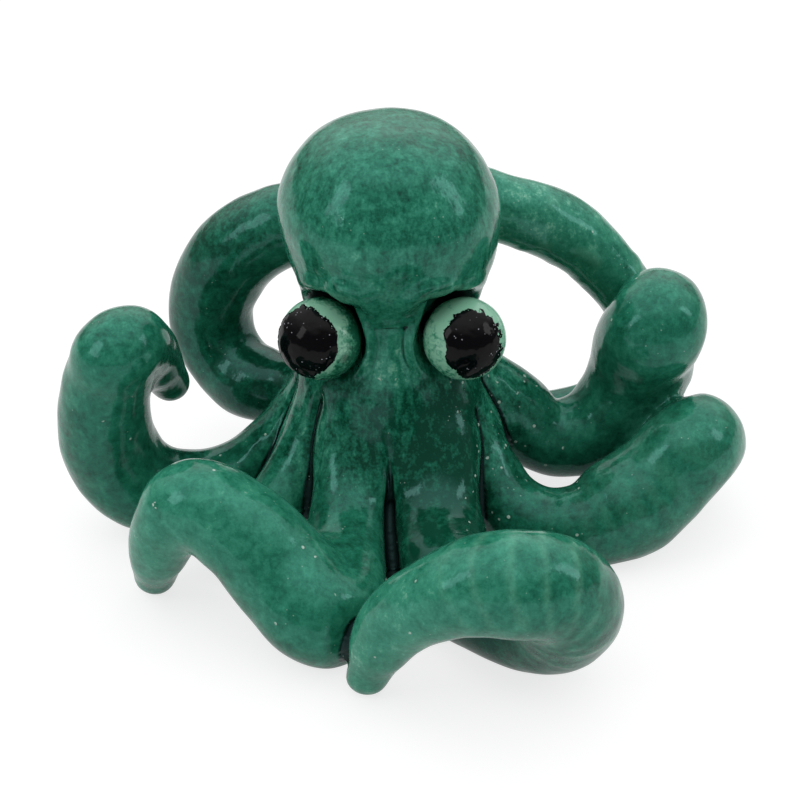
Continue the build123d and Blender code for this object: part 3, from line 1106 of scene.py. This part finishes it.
    def measure_coil(self, places: Array, number: int, arm: Coil) -> None:
        """Finds how far vertices are from a coil, where along it, and how they face its marks.

        Args:
            places: the vertices.
            number: the coil's place among the arms.
            arm: the coil.
        """
        middle, radii, along = arm.samples()
        self.length[number] = along[-1]
        low = (middle - radii[:, None]).min(0) - self.reach
        high = (middle + radii[:, None]).max(0) + self.reach
        close = np.flatnonzero(((places > low) & (places < high)).all(1))
        ahead = np.gradient(middle, axis=0)
        ahead /= np.linalg.norm(ahead, axis=1)[:, None]
        facing = np.array(arm.facing)
        for chunk in np.array_split(close, max(1, len(close) // self.chunk)):
            apart = np.linalg.norm(places[chunk, None] - middle[None], axis=2) - radii[None]
            best = apart.argmin(1)
            self.gap[chunk, number] = apart[np.arange(len(chunk)), best]
            self.along[chunk, number] = along[best]
            side = places[chunk] - middle[best]
            face = facing - ahead[best] * (ahead[best] @ facing)[:, None]
            lengths = np.linalg.norm(side, axis=1) * np.linalg.norm(face, axis=1)
            self.turn[chunk, number] = (side * face).sum(1) / np.maximum(lengths, TINY)

    def measure_pot(self, places: Array) -> None:
        """Finds how far vertices are from the head, the body and the eyelids.

        Args:
            places: the vertices.
        """
        x, y, z = places.T
        out = np.hypot(x, y)
        self.above = y * math.sin(SEAM_TILT) + (z - SEAM_HEIGHT) * math.cos(SEAM_TILT)
        ball = np.hypot(out, z - HEAD_HEIGHT) - HEAD_RADIUS
        neck = out - np.interp(z, *zip(*NECK))
        pot = out - np.interp(z, *zip(*POT))
        head = len(self.arms)
        self.gap[:, head] = np.minimum(ball, neck) + self.steep * np.maximum(-self.above, 0)
        self.gap[:, head + 1] = pot + self.steep * np.maximum(self.above, 0)
        self.eyes = {}
        for number, (side, centre) in enumerate(EYES.items(), start=head + 2):
            away = places - np.array(centre)
            beyond = np.linalg.norm(away, axis=1) - EYE_RADIUS
            nose = np.sign(-centre[0]) * away[:, 0]
            self.eyes[side] = (beyond, nose, away[:, 2])
            lid = self.socket.lid(*self.eyes[side]) & (self.above < 0) & (y < self.socket.lid_front)
            self.gap[:, number] = np.where(lid, self.near, self.far)

    def relief(self, places: Array) -> Array:
        """How far the skin stands out from the plain lumps.

        Args:
            places: the vertices.

        Returns:
            One height for each vertex.
        """
        height = self.wobble * (lumps(places, *self.wobble_lumps) - self.wobble_drop)
        height = height + self.dent * lumps(places, *self.dent_lumps)
        height = height + self.cut_slits(places) + self.press_marks(places)
        self.crease = np.zeros(self.count)
        for side, around in self.eyes.items():
            socket, crease = self.socket.relief(side, *around)
            height = height + socket
            self.crease += crease
        self.bridge_crease = self.bridge.crease(self.above, places)
        return height - self.bridge.depth * self.bridge_crease

    def cut_slits(self, places: Array) -> Array:
        """Cuts the slits between the coils, and keeps where they and their rims are.

        Args:
            places: the vertices.

        Returns:
            How far the skin stands out there.
        """
        slits, rows = self.slits, np.arange(self.count)
        coils_only = self.gap[:, : len(self.arms)]
        order = np.argsort(coils_only, axis=1)[:, :2]
        nearest, second = coils_only[rows, order[:, 0]], coils_only[rows, order[:, 1]]
        apart = second - nearest
        top = np.array([arm.free for arm in self.arms])[order].max(1) + lumps(places, *slits.waver)
        inside = smooth(slits.pot, np.hypot(places[:, 0], places[:, 1]))
        here = smooth(slits.reach, second) * (1 - inside * smooth((top - slits.fade, top), places[:, 2]))
        self.rim = here * hump(apart, slits.rim_place, slits.rim_width) * inside
        width = slits.width + slits.foot_width * smooth(slits.foot, places[:, 2])
        self.slit = here * hump(apart, 0.0, width)
        return -slits.dip * here * hump(apart, 0.0, slits.dip_width) - slits.depth * self.slit

    def press_marks(self, places: Array) -> Array:
        """Presses the marks into the coils, and keeps how much of them shows in the glaze.

        Args:
            places: the vertices.

        Returns:
            How far the skin stands out there.
        """
        height, self.mark = np.zeros(self.count), np.zeros(self.count)
        for number, arm in enumerate(self.arms):
            press = arm.marks.value
            if press is None:
                continue
            share = self.along[:, number] / self.length[number]
            start, end = arm.marked
            here = smooth((start, start + self.mark_fade), share)
            here = here * smooth((end, end - self.mark_fade), share)
            here = here * smooth(self.mark_reach, self.gap[:, number])
            here = here * smooth(press.side, self.turn[:, number])
            raised, shown = press.pattern(self.along[:, number], self.turn[:, number], places)
            height += here * press.height * raised
            self.mark += here * press.lightness * shown
        return height

    def pooled_and_shaded(self, places: Array, normals: Array, fine: Array, broad: Array) -> Array:
        """How deep the glaze pools, with the painted shade in hollows, slits, creases, round the eyes and
        under the brows.

        Args:
            places: the vertices.
            normals: the skin's normals.
            fine: how deep small hollows are.
            broad: how deep wide hollows are.

        Returns:
            A depth for each vertex.
        """
        pools_and_shade = self.pools_and_shade
        # pooled glaze and painted shade: hollows, measured against the smoothed skin
        pool_and_shade = np.clip(fine / pools_and_shade.fine, 0, pools_and_shade.most_counts) * pools_and_shade.fine_share
        pool_and_shade = pool_and_shade + np.clip(broad / pools_and_shade.broad, 0, pools_and_shade.most_counts) * pools_and_shade.broad_share
        for beyond, nose, up in self.eyes.values():
            # painted shade in the channel round the ball, deeper under the brow
            depth = pools_and_shade.eye_depth + pools_and_shade.eye_top_shade_depth * smooth(pools_and_shade.eye_top, up)
            channel = smooth(pools_and_shade.eye, beyond) * smooth(pools_and_shade.eye_side, np.maximum(nose, up)) * depth
            # painted shade where the skin faces down over the ball
            shade = smooth(pools_and_shade.brow, beyond) * smooth(pools_and_shade.brow_tilt, normals[:, 2])
            shade = shade * smooth(pools_and_shade.brow_up, up) * pools_and_shade.brow_shade_depth
            pool_and_shade = np.maximum(pool_and_shade, np.maximum(channel, shade))
        # painted shade in the slits, the creases and the crease between the eyes
        pool_and_shade = np.maximum(pool_and_shade, self.slit * pools_and_shade.slit_depth)
        pool_and_shade = pool_and_shade + pools_and_shade.crease_depth * self.crease + pools_and_shade.bridge_depth * self.bridge_crease
        pool_and_shade = pool_and_shade * (1.0 - pools_and_shade.right_arms_share * smooth(pools_and_shade.right_arms, places[:, 0]))
        return np.clip(pool_and_shade, 0, pools_and_shade.deepest)

    def paled(self, places: Array, root: Array, head: Array) -> Array:
        """How thin the glaze is.

        Args:
            places: the vertices.
            root: where the coils leave the pot.
            head: where the head is.

        Returns:
            A paleness for each vertex.
        """
        thin, rows = self.paleness, np.arange(self.count)
        x, y, z = places.T
        nearest = self.gap[:, : len(self.arms)].argmin(1)
        share = self.along[rows, nearest] / self.length[nearest]
        pale = np.array([arm.paleness for arm in self.arms])[nearest]
        pale = pale + np.array([arm.tip_paleness for arm in self.arms])[nearest] * smooth(thin.tip, share)
        pale = np.where(self.gap[rows, nearest] > thin.off_coil, thin.pot + thin.head * head, pale)
        face = smooth(thin.face_front, y) * smooth(thin.face_side, np.abs(x - thin.face_middle))
        face = face * smooth(thin.face_foot, z) * smooth(thin.face_top, z)
        pale = pale - thin.root * root + thin.face * face
        return self.relax(pale[:, None], thin.rounds)[:, 0] + thin.rim * self.rim

    def store_glaze(self, places: Array, normals: Array) -> None:
        """Stores where glaze pools and shade is painted, where it runs thin, and where bubbles with their
        painted highlights crowd, for the material.

        Args:
            places: the vertices.
            normals: the skin's normals.
        """
        thin = self.paleness
        x, y, z = places.T
        out = np.hypot(x, y)
        near = self.relax(places, self.pools_and_shade.fine_rounds)
        wide = self.relax(near, self.pools_and_shade.broad_rounds)
        fine, broad = ((near - places) * normals).sum(1), ((wide - places) * normals).sum(1)
        head = smooth(thin.head_height, z)
        root = smooth(thin.root_reach, out) * smooth(thin.root_height, z)
        # where more bubbles, with their painted highlights, lie
        bubbly = smooth(thin.bubbly_side, x) * smooth(thin.bubbly_reach, out)
        bubbly = bubbly * smooth(thin.bubbly_height, z)
        # painted shade: pooled glaze and the shade in hollows, slits, creases and round the eyes
        self.store("pool_and_shade", self.pooled_and_shaded(places, normals, fine, broad))
        self.store("ridge", np.clip(-broad / thin.ridge - thin.ridge_start, 0, 1))
        self.store("pale", self.paled(places, root, head))
        self.store("mark", self.relax(self.mark[:, None], 1)[:, 0])
        self.store("brush", np.clip(root + thin.head_brush * head, 0, 1))
        self.store("bubbly", bubbly)

    def store(self, name: str, values: Array) -> None:
        """Keeps a number for each vertex on the mesh."""
        layer = self.mesh.attributes.new(name, "FLOAT", "POINT")
        layer.data.foreach_set("value", values.astype(np.float32))

    def share_out(self) -> None:
        """Gives every face of the skin to the piece that it belongs to, and keeps the normals."""
        gap = self.relax(np.clip(self.gap, self.near, self.wide), self.share_rounds)
        corners = pull(self.mesh.loops, "vertex_index", np.int64)
        sides = pull(self.mesh.polygons, "loop_total", np.int64)
        owner = np.repeat(np.arange(len(sides)), sides)
        scores = np.stack([np.bincount(owner, column[corners], len(sides)) for column in gap.T], axis=1)
        layer = self.mesh.attributes.new("share", "INT", "FACE")
        layer.data.foreach_set("value", scores.argmin(1).astype(np.int32))
        lie = self.mesh.attributes.new("lie", "FLOAT_VECTOR", "POINT")
        lie.data.foreach_set("vector", pull(self.mesh.vertex_normals, "vector", np.float32, 3).ravel())

    def cut(self, number: int, name: str) -> bpy.types.Mesh:
        """Cuts one piece out of the skin and closes it where its neighbours join.

        Args:
            number: the piece's place in the sharing.
            name: the mesh's name.

        Returns:
            A closed mesh that shades as one with its neighbours.
        """
        part = bmesh.new()
        part.from_mesh(self.mesh)
        layer = part.faces.layers.int["share"]
        others = [face for face in part.faces if face[layer] != number]
        bmesh.ops.delete(part, geom=others, context="FACES")
        lie = part.verts.layers.float_vector["lie"]
        for _ in range(self.lip_rows):
            rim = [edge for edge in part.edges if edge.is_boundary]
            lip = bmesh.ops.extrude_edge_only(part, edges=rim)["geom"]
            for vert in (v for v in lip if isinstance(v, bmesh.types.BMVert)):
                vert.co -= vert[lie] * self.lip * MM
        rim = [edge for edge in part.edges if edge.is_boundary]
        filled = bmesh.ops.holes_fill(part, edges=rim, sides=0)
        bmesh.ops.triangulate(part, faces=filled["faces"])
        mesh = mesh_from(name, part)
        directions = pull(mesh.attributes["lie"].data, "vector", np.float32, 3)
        mesh.shade_smooth()
        mesh.normals_split_custom_set_from_vertices(directions)
        for spare in ("lie", "share"):
            mesh.attributes.remove(mesh.attributes[spare])
        return mesh

    def tree(self) -> BVHTree:
        """The finished skin, to measure distances from."""
        whole = bmesh.new()
        whole.from_mesh(self.mesh)
        tree = BVHTree.FromBMesh(whole)
        whole.free()
        return tree

    def build(self, glaze: bpy.types.Material) -> None:
        """Makes the head, the body, the lids and the arms.

        Args:
            glaze: their material.
        """
        self.shape(self.rough())
        names = [arm.node for arm in self.arms] + [part.value for part in Part]
        for number, node in enumerate(names):
            join_piece("clay_" + node, self.cut(number, "clay_" + node), node, glaze)


# Eyes


@dataclass
class Eye:
    """A ball of clay with a ragged pupil of thick glaze."""

    side: str
    turn: float  # degrees away from the nose
    wide: float  # degrees from the gaze to the pupil's edge, to the side
    tall: float  # and upwards
    fade: float  # how fast the mint turns green away from the pupil
    lift: float = 20.0
    ragged: float = 8.0  # degrees
    torn_inside: float = 0.7  # how much more the edge is torn towards the nose
    bulge: float = 2.6  # how fine the edge's tears are, from the widest to the smallest
    tears: tuple = ((9.0, 0.5), (22.0, 0.55), (40.0, 0.35))  # and how deep, as shares
    proud: float = 0.24  # how far the pupil stands out
    sunk: float = 0.03
    edge: float = 1.1  # degrees over which it comes out of the ball
    dents: float = 0.006  # a share of the ball's radius
    dent_size: float = 2.2
    fade_angle: float = 60.0  # degrees
    # painted light: the ball is lighter at its top
    painted_top_light: float = 0.35  # how much lighter the ball is at its top than at its middle
    under_dark: float = 0.05
    ray_count: float = 9.0
    ray_drift: float = 0.02
    # painted shade where the ball meets the skin, deepest at its top under the brow
    pool_and_shade_reach: float = 1.6
    pool_and_shade_search: float = 2.0
    pool_and_shade_below: float = 0.72  # how deep the pool is at the ball's middle next to its top
    pool_and_shade_rise: float = 3.0

    def gaze(self) -> Vector:
        """The direction that the eye looks in."""
        turn, lift = math.radians(self.turn), math.radians(self.lift)
        sign = -1.0 if self.side == "left" else 1.0
        return Vector((
            sign * math.sin(turn) * math.cos(lift), -math.cos(turn) * math.cos(lift), math.sin(lift),
        ))

    def beyond(self, way: Vector, torn: float) -> tuple[float, float]:
        """How far outside the pupil a direction is.

        Args:
            way: a direction from the middle of the ball.
            torn: how ragged the edge is, in degrees.

        Returns:
            Degrees from the pupil's edge, below 0 inside it, and the turn round the gaze.
        """
        gaze = self.gaze()
        across = gaze.cross(Vector((0.0, 0.0, 1.0))).normalized()
        turn = math.atan2(way.dot(across.cross(gaze)), way.dot(across))
        edge = 1.0 / math.hypot(math.cos(turn) / self.wide, math.sin(turn) / self.tall)
        inner = 1.0 + self.torn_inside * math.cos(turn) * (1.0 if self.side == "left" else -1.0)
        edge += torn * noise.noise(way * self.bulge + Vector((self.wide, 0.0, 0.0)))
        edge += torn * inner * sum(depth * noise.noise(way * fine) for fine, depth in self.tears)
        return math.degrees(way.angle(gaze)) - edge, turn

    def place(self, shape: bmesh.types.BMesh) -> None:
        """Moves a shape from the origin, in mm, to the eye, in metres."""
        there = Matrix.Scale(MM, 4) @ Matrix.Translation(Vector(EYES[self.side]))
        bmesh.ops.transform(shape, matrix=there, verts=shape.verts)

    def ball(self, skin: BVHTree) -> bpy.types.Mesh:
        """The eyeball, with what its glaze needs stored on it.

        Args:
            skin: the skin round it, to find where dark glaze pools and shade is painted against it.

        Returns:
            A closed mesh.
        """
        centre = Vector(EYES[self.side])
        ball = bmesh.new()
        bmesh.ops.create_icosphere(ball, subdivisions=BALL_SPLITS, radius=EYE_RADIUS)
        ring, rays, pool_and_shade = (ball.verts.layers.float.new(name) for name in ("ring", "rays", "pool_and_shade"))
        for vert in ball.verts:
            way = vert.co.normalized()
            angle, turn = self.beyond(way, 0.0)
            vert.co *= 1.0 - self.dents * (1.0 + noise.noise(way * self.dent_size))
            faded = max(0.0, angle / self.fade_angle) * self.fade
            # ring carries painted light: the ball grows lighter towards its top
            vert[ring] = faded - self.painted_top_light * way.z + self.under_dark
            round_gaze = Vector((math.cos(turn), math.sin(turn), 0.0)) * self.ray_count
            vert[rays] = 0.5 + 0.5 * noise.noise(round_gaze + Vector((0.0, 0.0, angle * self.ray_drift)))
            # painted shade: darker near the skin, most of all at the top under the brow
            near = skin.find_nearest((centre + vert.co) * MM, self.pool_and_shade_search * MM)[3]
            top = max(0.0, min(1.0, way.z * self.pool_and_shade_rise))
            depth = self.pool_and_shade_below + (1.0 - self.pool_and_shade_below) * top
            vert[pool_and_shade] = 0.0 if near is None else max(0.0, 1.0 - near / (self.pool_and_shade_reach * MM)) * depth
        self.place(ball)
        mesh = mesh_from(self.side + "_ball", ball)
        mesh.shade_smooth()
        return mesh

    def cap(self) -> bpy.types.Mesh:
        """The pupil, which comes out of the ball where its ragged edge is."""
        gaze = self.gaze()
        cap = bmesh.new()
        bmesh.ops.create_icosphere(cap, subdivisions=BALL_SPLITS, radius=EYE_RADIUS)
        for vert in cap.verts:
            way = vert.co.normalized()
            rise = max(-1.0, min(1.0, -self.beyond(way, self.ragged)[0] / self.edge))
            vert.co = way * (EYE_RADIUS + self.proud * rise - self.sunk)
        behind = EYE_RADIUS * math.cos(math.radians(self.tall + 2 * self.ragged))
        bmesh.ops.bisect_plane(
            cap, geom=[*cap.verts, *cap.edges, *cap.faces], dist=TINY,
            plane_co=gaze * behind, plane_no=gaze, clear_inner=True,
        )
        rim = [edge for edge in cap.edges if edge.is_boundary]
        filled = bmesh.ops.holes_fill(cap, edges=rim, sides=0)
        bmesh.ops.triangulate(cap, faces=filled["faces"])
        self.place(cap)
        bmesh.ops.recalc_face_normals(cap, faces=cap.faces)
        mesh = mesh_from(self.side + "_cap", cap)
        mesh.shade_smooth()
        return mesh

    def build(self, skin: BVHTree, mint: bpy.types.Material, black: bpy.types.Material) -> None:
        """Makes the eyeball and its pupil.

        Args:
            skin: the skin round them.
            mint: the eyeball's glaze.
            black: the pupil's glaze.
        """
        join_piece(self.side + "_eye_ball", self.ball(skin), self.side + "_eyeball", mint)
        join_piece(self.side + "_eye_pupil", self.cap(), self.side + "_pupil", black)


# Studio


@dataclass(frozen=True)
class Lamp:
    """A soft box that points at the figurine, in metres and watts."""

    name: str
    place: tuple[float, float, float]
    size: tuple[float, float]
    power: float
    aim: tuple[float, float, float] = (0.0, 0.0, 0.05)

    def build(self) -> None:
        """Hangs it in the scene."""
        data = bpy.data.lights.new(self.name, "AREA")
        data.shape, data.energy = "RECTANGLE", self.power
        data.size, data.size_y = self.size
        lamp = add_object(self.name, data)
        lamp.location = self.place
        lamp.rotation_euler = (Vector(self.aim) - Vector(self.place)).to_track_quat("-Z", "Y").to_euler()


@dataclass
class Studio:
    """White table, soft light from above and behind, and the photograph's view."""

    target: tuple[float, float, float] = (2.5, 0.0, 30.0)
    distance: float = 430.0
    elevation: float = 33.0  # degrees
    lens: float = 77.4
    film: float = 36.0  # its width
    clip: float = 0.01  # metres
    table: float = 3.0  # metres from its middle to its edge
    table_white: float = 0.8  # for light that falls on the figurine from it
    seen_white: float = 0.33  # to the camera, lit on top of its own glow
    mirrored_white: float = 0.55  # and in the glaze
    seen_glow: float = 0.42  # how much more it glows to the camera than in the glaze
    mirrored_glow: float = 0.34
    ceiling: float = 1.1
    room: float = 0.19
    upward: float = 0.94  # the ceiling's middle is a little behind the figurine
    backward: float = 0.34
    ceiling_edge: Edge = (0.25, 0.86)
    lamps: tuple[Lamp, ...] = (
        Lamp("window", (-0.55, -0.30, 0.45), (0.22, 0.36), 0.6),
        Lamp("door", (0.60, -0.10, 0.40), (0.16, 0.30), 0.4),
    )

    def camera(self) -> None:
        """Puts the camera at the photograph's viewpoint."""
        data = bpy.data.cameras.new("view")
        data.lens, data.sensor_width, data.clip_start = self.lens, self.film, self.clip
        camera = add_object("view", data)
        angle = math.radians(self.elevation)
        away = Vector((0.0, -math.cos(angle), math.sin(angle))) * self.distance
        camera.location = (Vector(self.target) + away) * MM
        camera.rotation_euler = (-away).to_track_quat("-Z", "Y").to_euler()
        bpy.context.scene.camera = camera

    def floor(self) -> None:
        """A wide white table that keeps a soft shadow."""
        plate = bmesh.new()
        bmesh.ops.create_grid(plate, x_segments=1, y_segments=1, size=self.table)
        graph = Graph(bpy.data.materials.new("white_table"))
        camera = graph.ray("Is Camera Ray")
        seen = camera.most(graph.ray("Is Glossy Ray"))
        plain = graph.node("ShaderNodeBsdfDiffuse", {}, {"Color": grey(self.table_white)})
        shaded = graph.blend(camera, grey(self.mirrored_white), grey(self.seen_white))
        bright = graph.node("ShaderNodeBsdfDiffuse", {}, {"Color": shaded})
        strength = camera * self.seen_glow + self.mirrored_glow
        glow = graph.node("ShaderNodeEmission", {}, {"Color": grey(1.0), "Strength": strength})
        both = graph.node("ShaderNodeAddShader", {}, {0: bright, 1: glow})
        graph.close(graph.node("ShaderNodeMixShader", {}, {0: seen, 1: plain, 2: both}))
        mesh = mesh_from("table", plate)
        mesh.materials.append(graph.owner)
        table = add_object("table", mesh)

    def sky(self) -> None:
        """A room that is bright above and behind, and dim behind the camera."""
        world = bpy.data.worlds.new("room")
        graph = Graph(world)
        way = graph.node("ShaderNodeTexCoord", {}, {}, "Generated")
        along = graph.node("ShaderNodeSeparateXYZ", {}, {0: way}, "Y")
        up = graph.node("ShaderNodeSeparateXYZ", {}, {0: way}, "Z")
        seen = graph.ray("Is Camera Ray")
        above = up * self.upward + along * self.backward
        unseen = above.step(*self.ceiling_edge) * self.ceiling + self.room
        strength = seen + (1.0 - seen) * unseen
        back = graph.node("ShaderNodeBackground", {}, {"Color": grey(1.0), "Strength": strength})
        graph.close(back, "ShaderNodeOutputWorld")
        bpy.context.scene.world = world

    def build(self) -> None:
        """Sets up the table, the room, the lamps and the camera."""
        self.floor()
        self.sky()
        for lamp in self.lamps:
            lamp.build()
        self.camera()
        bpy.context.scene.view_settings.view_transform = "Standard"
        LOG.info("studio ready")


def main() -> None:
    """Builds the figurine, then the studio round it."""
    logging.basicConfig(level=logging.INFO, format="%(name)s: %(message)s")
    skin = Skin()
    skin.build(GreenGlaze().make())
    tree, mint, black = skin.tree(), MintGlaze().make(), BlackGlaze().make()
    Eye("left", turn=30.0, wide=54.0, tall=56.0, fade=1.9).build(tree, mint, black)
    Eye("right", turn=13.5, wide=44.0, tall=56.0, fade=0.45).build(tree, mint, black)
    Studio().build()


if __name__ == "__main__":
    main()
